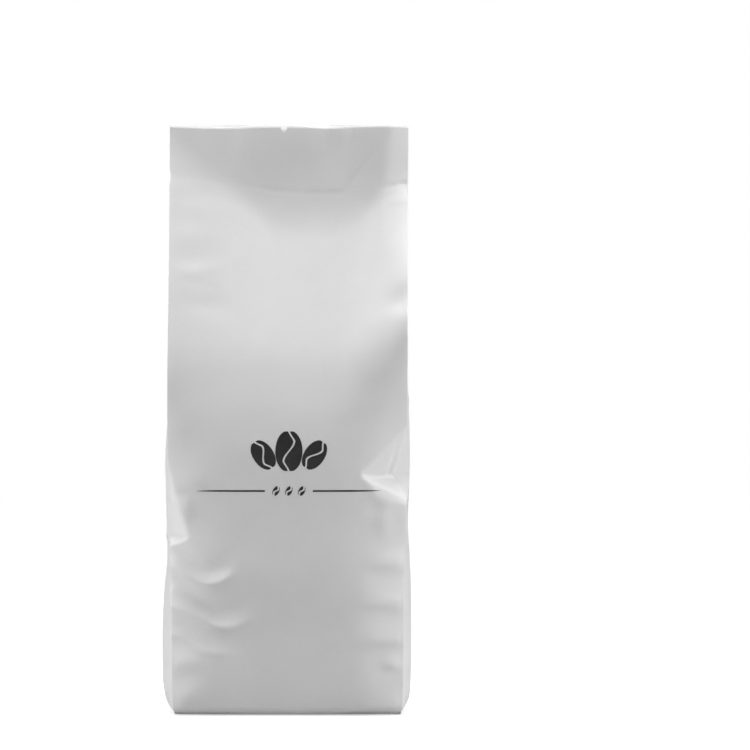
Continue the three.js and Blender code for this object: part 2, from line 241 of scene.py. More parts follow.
# --- Small helpers ---
def clamp01(a):
    return np.clip(a, 0.0, 1.0)


def smoothstep(a, low, high):
    t = clamp01((a - low) / (high - low))
    return t * t * (3 - 2 * t)


def mix(a, b, t):
    return a + (b - a) * t


def between_knots(knots, at):
    """The knot at or below each value, and the share of the way from it to the next one."""
    i = np.clip(np.searchsorted(knots, at, side="right") - 1, 0, len(knots) - 2)
    return i, (at - knots[i]) / (knots[i + 1] - knots[i])


def curve(knots):
    """A smooth curve through knots that never overshoots them."""
    x, y = np.array(knots, float).T
    slope = np.diff(y) / np.diff(x)
    before = np.concatenate([slope[:1], slope])
    after = np.concatenate([slope, slope[-1:]])
    turning = before * after <= 0
    tangent = np.where(turning, 0, 2 * before * after / np.where(turning, 1, before + after))

    def value(at):
        i, t = between_knots(x, np.clip(at, x[0], x[-1]))
        h = x[i + 1] - x[i]
        s = 1 - t
        return (y[i] * (1 + 2 * t) * s * s + tangent[i] * h * t * s * s
                + y[i + 1] * (3 - 2 * t) * t * t - tangent[i + 1] * h * t * t * s)

    return value


def soft_min(a, b, soft):
    near = np.maximum(soft - np.abs(a - b), 0) / soft
    return np.minimum(a, b) - near * near * soft / 4


def soft_max(a, b, soft):
    return -soft_min(-a, -b, soft)


def beside_line(start, end, across, z):
    """The share of the way along a straight line, and the distance to the right of it."""
    (x0, z0), (x1, z1) = start, end
    length = math.hypot(x1 - x0, z1 - z0)
    ux, uz = (x1 - x0) / length, (z1 - z0) / length
    along = ((across - x0) * ux + (z - z0) * uz) / length
    return along, (across - x0) * uz - (z - z0) * ux


def swing(by, at):
    return by.size * np.sin(at / by.length)


# --- Large form ---
def facet_height(facet, across, z):
    along, right = beside_line(facet.start, facet.end, across, z)
    ends = smoothstep(along, *FACET_GROWS) * (1 - smoothstep(along, *FACET_FADES))
    return -facet.slope * soft_max(right, 0.0, facet.soft) * ends


def lip_half(across, z):
    sides = smoothstep(np.abs(across), *LIP_THICKENS)
    return mix(LIP_SEALED, LIP_SIDE, sides) + (HEIGHT - z) * LIP_LEAN


def panel_depth(shape):
    """How far a panel stands off the bag's middle plane: lip, sloping shoulder and upright wall."""
    start, foot, corner, belly = (curve(shape[k]) for k in ("start", "foot", "corner", "belly"))
    lip_soft = curve(LIP_SOFT)

    def wall(across, z):
        power = np.where(across < 0, *BELLY_POWER)
        return corner(z) + belly(z) * (1 - np.abs(across) ** power)

    def depth(across, z):
        top, low = start(across), foot(across)
        crease = lip_half(across, top)
        shoulder = mix(crease, wall(across, low), (top - z) / (top - low))
        sides = np.abs(across) ** SHOULDER_SOFT["power"]
        soft = mix(SHOULDER_SOFT["middle"], SHOULDER_SOFT["sides"], sides)
        fall = sum(facet_height(f, across * HALF_WIDTH, z) for f in shape["facets"])
        upper = soft_max(lip_half(across, z), shoulder + fall, lip_soft(across))
        return soft_min(upper, wall(across, z) + fall, soft)

    return depth


DEPTH = {-1: panel_depth(FRONT), 1: panel_depth(BACK)}
side_half = curve(SIDE_HALF)
side_bulge = {side: curve(knots) for side, knots in SIDE_BULGE.items()}
fold_depth = curve(FOLD_DEPTH)
fold_pinch = curve(FOLD_PINCH)
lip_sway = curve(SWAY)


def sway(x, z):
    """How far both films are moved to the back by the lip's wander and by its bent right end."""
    beyond = soft_max(x - LIP_TURN["x"] - LIP_TURN["lean"] * (z - LIP_TURN["z"]), 0, LIP_TURN["soft"])
    turn = LIP_TURN["slope"] * beyond * smoothstep(z, LIP_TURN["from"], LIP_TURN["to"])
    return lip_sway(x) * smoothstep(z, SWAY_BELOW, HEIGHT) + turn


def apply_dents(p, face, side, off, on_gusset):
    """Pushes in the film round each dented corner crease; off is the distance from that crease."""
    z = p[..., 2].copy()
    for dent in CORNER_DENTS:
        if dent.face != face:
            continue
        rise = np.where(z > dent.z, (z - dent.z) / dent.above, (dent.z - z) / dent.below)
        reach = dent.on_gusset if on_gusset else dent.on_panel
        share = np.maximum(0, 1 - rise - off / reach) ** dent.sweep * (side == dent.side)
        p[..., 0] -= dent.side * dent.in_x * share
        p[..., 1] -= face * dent.in_y * share
    return p


def panel_points(face, across, z):
    x = across * side_half(z)
    y = face * DEPTH[face](across, z) + sway(x, z)
    p = np.stack([x, y, z], -1)
    side = np.where(across < 0, -1, 1)
    return apply_dents(p, face, side, (1 - np.abs(across)) * HALF_WIDTH, on_gusset=False)


def gusset_points(side, face, out, z):
    corner = DEPTH[face](side, z)
    ridge = RIDGE_RISE * out ** RIDGE_POWER * (1 - smoothstep(z, *RIDGE_GONE))
    inward = fold_depth(z - ridge) * (1 - out)
    x = side * (side_half(z) + side_bulge[side](z) * (1 - out * out) - inward)
    room = DEPTH[face](np.clip(x / side_half(z), -1, 1), z) - LEAF * (1 - out)
    y = face * np.minimum(corner * out ** fold_pinch(z), room) + sway(x, z)
    p = np.stack([x, y, z], -1)
    return apply_dents(p, face, np.full(out.shape, side), (1 - out) * corner, on_gusset=True)


# --- Relief ---
def crest(off):
    """A ridge's section, sharp but not a point, 1 at off 0 and near 0 at off 1."""
    return np.exp(-CREST["sharp"] * (np.sqrt(off * off + CREST["round"] ** 2) - CREST["round"]))


def dent_height(dent, across, z):
    u = (across - dent.across) / dent.wide
    rise = z - dent.z - dent.tilt * (across - dent.across) - dent.bend * u * u
    v = rise / np.where(rise > 0, dent.above, dent.below)
    return -dent.depth * np.exp(-DENT_SPREAD * (u * u + v * v))


def fold_height(fold, across, z):
    along, right = beside_line(fold.start, fold.end, across, z)
    off = np.abs(right) / (fold.width * (1 + FOLD_WIDENS * clamp01(along)))
    return fold.height * crest(off) * smoothstep(along, *FOLD_GROWS) * (1 - smoothstep(along, *FOLD_FADES))


def line_ends(points, across):
    """1 along a line and 0 beyond its two ends."""
    first, last = points[0][0], points[-1][0]
    fade = LINE_FADE * (last - first)
    begun = smoothstep(across, first - fade / 2, first + fade)
    return begun * (1 - smoothstep(across, last - fade, last + fade / 2))


def line_height(line, across, z):
    height = curve(line.points)
    lean = height(across + 0.5) - height(across - 0.5)
    off = np.abs(z - height(across)) / np.sqrt(1 + lean * lean) / line.width
    return line.height * crest(off) * line_ends(line.points, across)


def hollow_height(hollow, across, z):
    rise = z - curve(hollow.points)(across)
    v = rise / np.where(rise > 0, hollow.above, hollow.below)
    return -hollow.depth * np.exp(-DENT_SPREAD * v * v) * line_ends(hollow.points, across)


HEIGHT_OF = {Dent: dent_height, Fold: fold_height, Line: line_height, Hollow: hollow_height}


def relief(features, across, z):
    total = np.zeros(np.broadcast(across, z).shape)
    for feature in features:
        total += HEIGHT_OF[type(feature)](feature, across, z)
    return total


def crumples(rng, corner, strength):
    """Small folds that start on a corner crease, at corner across, and run into the film beside it."""
    made = []
    inward = -math.copysign(1, corner)
    z = CRUMPLE["low"]
    while z < CRUMPLE["high"]:
        reach = rng.uniform(*CRUMPLE["reach"])
        angle = math.radians(rng.uniform(-CRUMPLE["angle"], CRUMPLE["angle"]))
        end = (corner + inward * reach * math.cos(angle), z + reach * math.sin(angle))
        height = strength * rng.choice((-1, 1)) * rng.uniform(*CRUMPLE["height"])
        made.append(Fold((corner, z), end, rng.uniform(*CRUMPLE["width"]), height))
        z += CRUMPLE["step"] * rng.uniform(*CRUMPLE["spacing"])
    return tuple(made)


def grid_normals(grid):
    """Outward normals of a grid whose columns run anticlockwise and close on themselves."""
    along = np.roll(grid, -1, 1) - np.roll(grid, 1, 1)
    up = np.gradient(grid, axis=0)
    normal = np.cross(along, up)
    return normal / np.maximum(np.linalg.norm(normal, axis=-1, keepdims=True), 1e-9)


# --- Skin grid ---
class Columns:
    """The skin's columns, anticlockwise seen from above: front, right gusset, back, left gusset."""

    def __init__(self, panel_steps, gusset_steps):
        places = self.panel_places(panel_steps)
        outs = self.gusset_places(gusset_steps)
        runs = (
            (False, 0, -1, places[:-1]), (True, 1, -1, outs[::-1]), (True, 1, 1, outs[1:-1]),
            (False, 0, 1, places[::-1]), (True, -1, 1, outs[::-1][1:]), (True, -1, -1, outs[1:-1]),
        )
        self.gusset, self.side, self.face = (
            np.concatenate([np.full(len(run[3]), run[k]) for run in runs]) for k in range(3))
        self.place = np.concatenate([run[3] for run in runs])
        self.count = len(self.place)

    @staticmethod
    def panel_places(steps):
        """Even places across a panel, with narrow ones at its creases and the tear notch's corners."""
        half, edge = NOTCH["width"] / 2, NOTCH["edge"]
        notch = (NOTCH["x"] + np.array([-half - edge, -half, 0, half, half + edge])) / HALF_WIDTH
        even = np.linspace(-1, 1, steps + 1)
        near = CROWDED * 2 / steps
        even = even[(even < notch[0] - near) | (even > notch[-1] + near)]
        creases = 1 - np.array(CREASE_COLUMNS) / HALF_WIDTH
        return np.sort(np.concatenate([even, notch, creases, -creases]))

    @staticmethod
    def gusset_places(steps):
        creases = np.array(CREASE_COLUMNS) / GUSSET_HALF
        return np.sort(np.concatenate([np.linspace(0, 1, steps + 1), creases, 1 - creases]))


def notch_drop(x):
    """How far the tear notch lowers the top edge."""
    off = np.abs(x - NOTCH["x"])
    half = NOTCH["width"] / 2
    deep = NOTCH["straight"] + (NOTCH["depth"] - NOTCH["straight"]) * (1 - off / half)
    return np.where(off < half + NOTCH["edge"] / 2, deep, 0)


def wall_grid(columns, heights, strength):
    """Rows and columns of points of the walls, from the bottom edge to the top one."""
    grid = np.zeros((len(heights), columns.count, 3))
    z = np.broadcast_to(heights[:, None], grid.shape[:2])
    bumps = np.zeros(z.shape)
    steady = smoothstep(z, 0, RELIEF_FROM) * strength
    rng = random.Random(CRUMPLE["seed"])
    on_panel = {-1: FRONT_RELIEF, 1: BACK_RELIEF}
    on_gusset = {-1: LEFT_RELIEF, 1: RIGHT_RELIEF}
    top_edge = curve(TOP_EDGE)
    for face in (-1, 1):
        features = on_panel[face]
        for side in (-1, 1):
            features += crumples(rng, side * HALF_WIDTH, CRUMPLE["front"] if face < 0 else 1.0)
        pick = ~columns.gusset & (columns.face == face)
        up = z[:, pick]
        place = np.broadcast_to(columns.place[pick], up.shape)
        x = place * HALF_WIDTH
        drop = (notch_drop(x) + top_edge(place)) * smoothstep(up, HEIGHT - NOTCH["fade"], HEIGHT)
        grid[:, pick] = panel_points(face, place, up - drop)
        bump = relief(features, x, up) * steady[:, pick]
        beside = smoothstep((1 - np.abs(place)) * HALF_WIDTH, 0, CREASE_FADE)
        grid[:, pick, 1] += face * bump * (1 - beside)
        bumps[:, pick] = bump * beside
        for side in (-1, 1):
            pick = columns.gusset & (columns.face == face) & (columns.side == side)
            up = z[:, pick]
            out = np.broadcast_to(columns.place[pick], up.shape)
            grid[:, pick] = gusset_points(side, face, out, up)
            across = -face * out * GUSSET_HALF
            small = crumples(rng, -face * GUSSET_HALF, 1.0)
            own = relief(on_gusset[side] + small, across, up)
            own -= MIDDLE_CREASE["depth"] * crest(np.abs(across) / MIDDLE_CREASE["width"])
            at_crease = relief(features, side * HALF_WIDTH, up)
            grid[:, pick, 1] += face * at_crease * steady[:, pick] * out ** FOLLOW
            bumps[:, pick] = own * steady[:, pick] * smoothstep((1 - out) * GUSSET_HALF, 0, CREASE_FADE)
    grid += grid_normals(grid) * bumps[..., None]
    return grid


def edge_lift(columns):
    """How far the wall's bottom edge is lifted: nothing at the front, most at the back corners."""
    place = np.abs(columns.place)
    front, back = POCKET["middle"] * (1 - place), mix(POCKET["middle"], POCKET["back"], place)
    gusset = np.where(columns.face < 0, front, back)
    panel = np.where(columns.face < 0, 0, POCKET["back"] * smoothstep(place, POCKET["fade"], 1))
    return np.where(columns.gusset, gusset, panel)


def add_bottom(grid, heights, columns):
    """Turns the wall under at its bottom edge, then adds the pockets, the flap's rim and the base."""
    lift = edge_lift(columns)
    place = np.abs(columns.place)
    crease = place == 1
    down = clamp01(1 - heights / BASE_RADIUS)[:, None]
    turn = BASE_RADIUS * BASE_TURN * (1 - np.sqrt(1 - down * down))
    x_share = np.where(columns.gusset | crease, 1.0, 0.0)
    y_share = np.where(~columns.gusset | crease, 1.0, 0.0)
    grid[..., 0] -= np.sign(grid[..., 0]) * turn * x_share
    grid[..., 1] -= columns.face * turn * y_share
    grid[..., 2] += lift * clamp01(1 - heights / POCKET["below"])[:, None]
    grid[..., 2] += (FLAP["top"] + FLAP["clear"]) * clamp01(1 - heights / FLAP["clear_below"])[:, None]
    edge = grid[0]
    inward = np.zeros(edge.shape)
    inward[:, 0] = -np.sign(edge[:, 0]) * x_share
    inward[:, 1] = -columns.face * y_share
    deep = np.where(columns.gusset, POCKET["deep"] * (1 - place), 0) + lift * POCKET["tuck"]
    ceiling_z = np.minimum(edge[:, 2], FLAP["top"] + POCKET["gap"] + lift * POCKET["slope"])
    levels = [(share, mix(edge[:, 2], ceiling_z, share)) for share in POCKET["rows"]]
    levels += [(share, FLAP["top"] + FLAP["crown"] * share) for share in FLAP["rows"]]
    rows = []
    for share, z in levels:
        p = edge + inward * (deep * share)[:, None]
        p[:, 2] = z
        rows.append(p)
    for k in range(FLAP["rows_under"] + 1):
        p = edge + inward * FLAP["inset"] * min(k, 1)
        p[:, 1] *= 1 - k / FLAP["rows_under"]
        p[:, 2] = FLAP["under"]
        rows.append(p)
    return np.concatenate([rows[::-1], grid])


def skin_heights(rows):
    base = BASE_RADIUS * (1 - np.cos(np.linspace(0, math.pi / 2, BASE_ROWS)))
    return np.concatenate([base, np.linspace(BASE_RADIUS, HEIGHT, rows - BASE_ROWS + 1)[1:]])


class Skin:
    """The whole skin as a grid, and places on its panels for the pieces that lie on them."""

    def __init__(self, panel_columns, gusset_columns, rows, strength):
        self.columns = Columns(panel_columns, gusset_columns)
        self.heights = skin_heights(rows)
        walls = wall_grid(self.columns, self.heights, strength)
        self.grid = add_bottom(walls, self.heights, self.columns)
        self.walls = self.grid[-len(self.heights):]
        self.normals = grid_normals(self.walls)

    def on_panel(self, face, x, z, off):
        """Points off from a panel's film, over flat places x across and z up."""
        pick = np.flatnonzero(~self.columns.gusset & (self.columns.face == face))
        pick = pick[np.argsort(self.columns.place[pick])]
        places = self.columns.place[pick]
        i, u = between_knots(places, np.clip(x / HALF_WIDTH, -1, 1))
        j, v = between_knots(self.heights, z)
        left, right = pick[i], pick[i + 1]

        def between(values):
            low = mix(values[j, left], values[j, right], u[..., None])
            high = mix(values[j + 1, left], values[j + 1, right], u[..., None])
            return mix(low, high, v[..., None])

        normal = between(self.normals)
        normal /= np.linalg.norm(normal, axis=-1, keepdims=True)
        return between(self.walls) + normal * np.asarray(off)[..., None]

    def crease_share(self):
        """1 on the pressed creases and 0 a few millimetres from them, for each point of the grid."""
        c = self.columns
        place = np.abs(c.place)
        off = np.where(c.gusset, np.minimum(place, 1 - place) * GUSSET_HALF, (1 - place) * HALF_WIDTH)
        share = np.exp(-off / CREASE_WEAR)
        return np.broadcast_to(share, self.grid.shape[:2])


made_skin = lru_cache(maxsize=1)(Skin)


def skin_of(shape):
    """The skin of a bag's shape, worked out once for all the pieces that lie on it."""
    return made_skin(shape.panel_columns, shape.gusset_columns, shape.rows, shape.relief)


# --- Meshes ---
def linked(name, data):
    ob = bpy.data.objects.new(name, data)
    bpy.context.scene.collection.objects.link(ob)
    return ob


def mesh_object(name, points, faces):
    mesh = bpy.data.meshes.new(name)
    mesh.from_pydata((np.asarray(points) * MM).tolist(), [], faces)
    mesh.validate()
    mesh.shade_smooth()
    return linked(name, mesh)


def tube_faces(rows, n):
    """Faces of rows of points, n to a row, where each row is a closed loop."""
    first, place = np.arange(rows - 1)[:, None] * n, np.arange(n)
    a, b = (first + place).ravel(), (first + (place + 1) % n).ravel()
    return np.stack([a, b, b + n, a + n], 1).tolist()


def slab_faces(rows, n):
    """Faces of a closed thin slab: a top sheet of rows by n points, then its bottom sheet."""
    faces = []
    size = rows * n
    for r in range(rows - 1):
        for c in range(n - 1):
            a = r * n + c
            faces.append((a, a + 1, a + n + 1, a + n))
            faces.append((size + a, size + a + n, size + a + n + 1, size + a + 1))
    rim = list(range(n)) + [r * n + n - 1 for r in range(1, rows)]
    rim += [(rows - 1) * n + c for c in range(n - 2, -1, -1)] + [r * n for r in range(rows - 2, 0, -1)]
    for a, b in zip(rim, rim[1:] + rim[:1]):
        faces.append((b, a, size + a, size + b))
    return faces


def set_crease(ob, values):
    """Keeps each point's share of a pressed crease for the film's material to read."""
    share = ob.data.attributes.new("crease", "FLOAT", "POINT")
    share.data.foreach_set("value", np.ascontiguousarray(values, dtype=np.float32).ravel())


def finished(ob, material):
    """Gives a piece its material and its place on the bag, and says that its operator is done."""
    ob.data.materials.append(material)
    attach(ob, "root")
    return {"FINISHED"}


# --- Materials ---
NOISE_SPAN = (0.3, 0.7)  # most of a noise's values lie between these
# Sizes of the film's and the ink's noises in millimetres, and how much they change tone and roughness.
FILM = {"cloud": 26.0, "speck": 0.9, "uneven": 0.015, "patch": 7.0, "patchy": 0.05, "peel": 1.6,
        "coat": 0.35, "crease_shine": 0.12, "ior": 1.46, "sheen_spread": 0.35}
INK_LOOK = {"mottle": 3.0, "dark": 0.8, "light": 1.25, "patch": 2.0, "roughness": 0.49, "patchy": 0.07,
            "coat": 0.35, "grain": 0.004}


class Nodes:
    """Short calls for building a material's or a world's nodes, in place of those that it has."""

    def __init__(self, owner):
        owner.use_nodes = True
        self.tree = owner.node_tree
        self.tree.nodes.clear()

    def add(self, kind, settings=None, **inputs):
        node = self.tree.nodes.new("ShaderNode" + kind)
        for name, value in (settings or {}).items():
            setattr(node, name, value)
        for name, value in inputs.items():
            self.join(value, node.inputs[name.replace("_", " ")])
        return node

    def join(self, value, socket):
        if isinstance(value, bpy.types.NodeSocket):
            self.tree.links.new(value, socket)
        else:
            socket.default_value = value

    def by_camera(self, seen, otherwise):
        """One shader where the camera looks, and another for the light that falls elsewhere."""
        both = self.add("MixShader", Fac=self.add("LightPath").outputs["Is Camera Ray"])
        self.join(otherwise.outputs[0], both.inputs[1])
        self.join(seen.outputs[0], both.inputs[2])
        return both.outputs[0]


class Surface(Nodes):
    """A material's nodes: a shader joined to the output, and noises and bumps to drive it."""

    def __init__(self, name):
        self.material = bpy.data.materials.get(name) or bpy.data.materials.new(name)
        super().__init__(self.material)
        self.shader = self.add("BsdfPrincipled")
        self.output = self.add("OutputMaterial", Surface=self.shader.outputs[0])
        self.place = self.add("TexCoord").outputs["Object"]

    def noise(self, size, detail):
        """Noise with patches about size millimetres across, from 0 to 1."""
        return self.add("TexNoise", Vector=self.place, Scale=1 / (size * MM), Detail=detail).outputs["Fac"]

    def ranged(self, value, low, high, from_low=0.0, from_high=1.0):
        """Value goes from low to high while it goes from from_low to from_high."""
        ends = {"From_Min": from_low, "From_Max": from_high, "To_Min": low, "To_Max": high}
        return self.add("MapRange", {"clamp": True}, Value=value, **ends).outputs["Result"]

    def varied(self, size, detail, middle, by):
        """Noise that mostly stays between middle less by and middle plus by."""
        return self.ranged(self.noise(size, detail), middle - by, middle + by, *NOISE_SPAN)

    def maths(self, operation, a, b):
        node = self.add("Math", {"operation": operation})
        self.join(a, node.inputs[0])
        self.join(b, node.inputs[1])
        return node.outputs[0]

    def bump(self, height, depth, under=None):
        """Height in 0 to 1 raises the surface by depth millimetres."""
        node = self.add("Bump", Height=height, Distance=depth * MM, Strength=1.0)
        if under:
            self.join(under, node.inputs["Normal"])
        return node.outputs["Normal"]


def film_material(finish):
    """Matte coated film: faint cloudiness, a fine grain, and pressed creases that shine a little."""
    n = Surface("matte_film")
    crease = n.add("Attribute", {"attribute_name": "crease"}).outputs["Fac"]
    cloud = n.varied(FILM["cloud"], 3, 1.0, FILM["uneven"])
    speck = n.varied(FILM["speck"], 2, 1.0, FILM["uneven"])
    worn = n.ranged(crease, 1.0, finish.crease_tone)
    tone = n.maths("MULTIPLY", n.maths("MULTIPLY", cloud, speck), worn)
    tinted = n.add("Mix", {"data_type": "RGBA", "blend_type": "MULTIPLY"})
    tinted.inputs["Factor"].default_value = 1.0
    first, second = (socket for socket in tinted.inputs if socket.type == "RGBA")
    first.default_value = (*finish.colour, 1)
    n.join(tone, second)
    product = next(socket for socket in tinted.outputs if socket.type == "RGBA")
    n.join(product, n.shader.inputs["Base Color"])
    rough = n.varied(FILM["patch"], 3, finish.roughness, FILM["patchy"])
    shine = n.ranged(crease, 0.0, FILM["crease_shine"])
    n.join(n.maths("SUBTRACT", rough, shine), n.shader.inputs["Roughness"])
    peel = n.bump(n.noise(FILM["peel"], 2), finish.peel)
    n.join(n.bump(n.noise(FILM["coat"], 1), finish.grain, peel), n.shader.inputs["Normal"])
    n.shader.inputs["IOR"].default_value = FILM["ior"]
    n.shader.inputs["Sheen Weight"].default_value = finish.sheen
    n.shader.inputs["Sheen Roughness"].default_value = FILM["sheen_spread"]
    return n.material


def ink_material(design):
    """Flat printing ink, thin enough that the film's grain shows in its shine."""
    n = Surface("printed_ink")
    shade = n.add("ValToRGB", Fac=n.noise(INK_LOOK["mottle"], 3))
    tones = zip(shade.color_ramp.elements, NOISE_SPAN, (INK_LOOK["dark"], INK_LOOK["light"]))
    for element, position, tone in tones:
        element.position = position
        element.color = (*(Vector(design.ink) * tone), 1)
    n.join(shade.outputs["Color"], n.shader.inputs["Base Color"])
    rough = n.varied(INK_LOOK["patch"], 2, INK_LOOK["roughness"], INK_LOOK["patchy"])
    n.join(rough, n.shader.inputs["Roughness"])
    n.join(n.bump(n.noise(INK_LOOK["coat"], 1), INK_LOOK["grain"]), n.shader.inputs["Normal"])
    return n.material


def floor_material(studio):
    """A pale floor that the camera sees fading to the white behind it."""
    n = Surface("pale_floor")
    low, high = studio.floor_tone - FLOOR["uneven"], studio.floor_tone + FLOOR["uneven"]
    n.join(n.ranged(n.noise(FLOOR["mottle"], 2), low, high), n.shader.inputs["Base Color"])
    n.shader.inputs["Roughness"].default_value = FLOOR["rough"]
    reach = n.add("VectorMath", {"operation": "LENGTH"})
    n.join(n.place, reach.inputs[0])
    lift = n.ranged(reach.outputs["Value"], studio.floor_glow, 1.0, FLOOR["glow_from"], FLOOR["glow_to"])
    both = n.add("AddShader")
    n.join(n.shader.outputs[0], both.inputs[0])
    n.join(n.add("Emission", Strength=lift).outputs[0], both.inputs[1])
    n.join(n.by_camera(both, n.shader), n.output.inputs["Surface"])
    return n.material


# --- What a user may change ---
def distance_setting(name, description, metres):
    return FloatProperty(name=name, description=description, default=metres, subtype="DISTANCE")


def power_setting(name, light, watts):
    return FloatProperty(
        name=name, description="Power of the " + light, default=watts, subtype="POWER", unit="POWER")


class BagShape(bpy.types.PropertyGroup):
    panel_columns: IntProperty(
        name="Panel columns", description="Steps across each flat panel", default=108, min=24)
    gusset_columns: IntProperty(
        name="Gusset columns", description="Steps from a gusset's middle to its corner", default=34, min=8)
    rows: IntProperty(name="Rows", description="Steps from the bottom to the top edge", default=228, min=40)
    relief: FloatProperty(
        name="Relief", description="How strong the dents, folds and crumples are", default=1.0,
        min=0, max=2)
    fin_width: distance_setting("Back seal width", "Width of the sealed seam down the back", 0.010)
    fin_proud: distance_setting(
        "Back seal lift", "How far the back seam's free edge stands off the film", 0.0021)
    seal_width: distance_setting("Bottom seal width", "Width of the folded seal strip under the bag", 0.022)


class FilmFinish(bpy.types.PropertyGroup):
    colour: FloatVectorProperty(
        name="Film colour", description="Colour of the matte film", default=(0.8, 0.8, 0.8),
        subtype="COLOR", min=0, max=1)
    roughness: FloatProperty(
        name="Roughness", description="How matte the film is", default=0.45, min=0, max=1, subtype="FACTOR")
    sheen: FloatProperty(
        name="Sheen", description="Soft brightening where the film is seen edge-on", default=0.08,
        min=0, max=1, subtype="FACTOR")
    peel: FloatProperty(
        name="Orange peel", description="Depth of the film's faint waviness, in millimetres", default=0.012)
    grain: FloatProperty(
        name="Grain", description="Depth of the matte coating's grain, in millimetres", default=0.004)
    crease_tone: FloatProperty(
        name="Crease tone", description="How the film's tone changes on its pressed creases", default=1.05)


class PrintDesign(bpy.types.PropertyGroup):
    ink: FloatVectorProperty(
        name="Ink", description="Colour of the print", default=(0.012, 0.012, 0.012),
        subtype="COLOR", min=0, max=1)
    middle: distance_setting("Middle", "Place of the design's middle across the front", 0.001)
    bean_height: distance_setting(
        "Beans' height", "Height of the middle of the beans above the floor", 0.154)
    bean_length: distance_setting("Bean length", "Length of the middle bean", 0.024)
    rule_height: distance_setting("Rule height", "Height of the thin rule above the floor", 0.1315)
    rule_length: distance_setting("Rule length", "Length of each half of the thin rule", 0.040)


class StudioSetup(bpy.types.PropertyGroup):
    overhead: power_setting("Overhead", "overhead light", 13.2)
    left: power_setting("Left", "left light", 9.6)
    right: power_setting("Right", "right light", 7.4)
    left_high: power_setting("High left", "high left light", 1.2)
    right_high: power_setting("High right", "high right light", 3.0)
    fill: power_setting("Fill", "low light in front", 2.0)
    back: power_setting("Back", "light behind the bag", 4.0)
    ambient: FloatProperty(name="Ambient", description="Light from all round", default=0.02, min=0)
    floor_tone: FloatProperty(
        name="Floor tone", description="How pale the floor is", default=0.54, min=0,
        max=0.97, subtype="FACTOR")
    floor_glow: FloatProperty(
        name="Floor glow", description="How much the floor near the bag is lifted to white",
        default=0.62, min=0)


# --- Operators ---
class COFFEEBAG_OT_film(bpy.types.Operator):
    """Make the bag's film: panels, folded gussets, closed lip and flattened bottom"""

    bl_idname = "coffee_bag.film"
    bl_label = "Bag Film"

    def execute(self, context):
        skin = skin_of(context.scene.bag_shape)
        rows, n = skin.grid.shape[:2]
        faces = tube_faces(rows, n)
        faces.append([(rows - 1) * n + c for c in range(n)])
        film = mesh_object("bag_film", skin.grid.reshape(-1, 3), faces)
        set_crease(film, skin.crease_share())
        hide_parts("bag")
        return finished(film, film_material(context.scene.film_finish))


class COFFEEBAG_OT_back_seal(bpy.types.Operator):
    """Make the sealed seam that runs down the back and lies to one side"""

    bl_idname = "coffee_bag.back_seal"
    bl_label = "Back Seal"

    def execute(self, context):
        shape = context.scene.bag_shape
        width, proud = shape.fin_width / MM, shape.fin_proud / MM
        u, z = np.meshgrid(
            np.linspace(0, 1, FIN["steps"]), np.linspace(FIN["low"], HEIGHT - FIN["top"], FIN["rows"]))
        x = width * (0.5 - u) + swing(FIN["wander"], z)
        wave = 1 + swing(FIN["wave"], z) + swing(FIN["ripple"], z)
        stand = FIN["root"] + proud * wave * smoothstep(u, FIN["bend"], 1.0)
        skin = skin_of(shape)
        outer = skin.on_panel(1, x, z, stand + FIN["film"])
        inner = skin.on_panel(1, x, z, np.where(u == 0, FIN["sunk"], stand))
        loops = np.concatenate([outer, inner[:, ::-1]], 1)
        rows, n = loops.shape[:2]
        faces = tube_faces(rows, n)
        faces += [list(range(n))[::-1], [(rows - 1) * n + c for c in range(n)]]
        seal = mesh_object("back_seal", loops.reshape(-1, 3), faces)
        edge = np.minimum(u, 1 - u) * width
        set_crease(seal, np.exp(-np.concatenate([edge, edge[:, ::-1]], 1) / CREASE_WEAR))
        return finished(seal, film_material(context.scene.film_finish))


class COFFEEBAG_OT_bottom_seal(bpy.types.Operator):
    """Make the folded seal strip with its pinked edge that lies flat under the bag"""

    bl_idname = "coffee_bag.bottom_seal"
    bl_label = "Bottom Seal"

    def execute(self, context):
        width = context.scene.bag_shape.seal_width / MM
        half = BOTTOM_SEAL["half"]
        teeth = int(2 * half / BOTTOM_SEAL["pitch"]) * 2
        x, u = np.meshgrid(np.linspace(-half, half, teeth + 1), np.linspace(0, 1, BOTTOM_SEAL["steps"]))
        tooth = np.where(np.arange(teeth + 1) % 2, BOTTOM_SEAL["tooth"], 0)
        y = BOTTOM_SEAL["root"] - (width - tooth) * u
        top = BOTTOM_SEAL["thick"] - BOTTOM_SEAL["thins"] * u + swing(BOTTOM_SEAL["ripple"], x)
        under = np.full(x.shape, BOTTOM_SEAL["under"])
        points = np.concatenate([np.stack([x, y, z], -1).reshape(-1, 3) for z in (top, under)])
        seal = mesh_object("bottom_seal", points, [f[::-1] for f in slab_faces(*x.shape)])
        set_crease(seal, np.tile(u.ravel() ** BOTTOM_SEAL["worn"], 2))
        return finished(seal, film_material(context.scene.film_finish))


class COFFEEBAG_OT_front_print(bpy.types.Operator):
    """Make the plain printed design: three coffee beans over a thin rule"""

    bl_idname = "coffee_bag.front_print"
    bl_label = "Front Print"

    def execute(self, context):
        design = context.scene.print_design
        skin = skin_of(context.scene.bag_shape)
        points, faces = [], []
        for x, z in printed_shapes(design):
            first = sum(len(p) for p in points)
            for off in (INK["proud"], INK["sunk"]):
                points.append(skin.on_panel(-1, x, z, off).reshape(-1, 3))
            faces += [[first + i for i in f] for f in slab_faces(*x.shape)]
        emblem = mesh_object("front_print", np.concatenate(points), faces)
        return finished(emblem, ink_material(design))


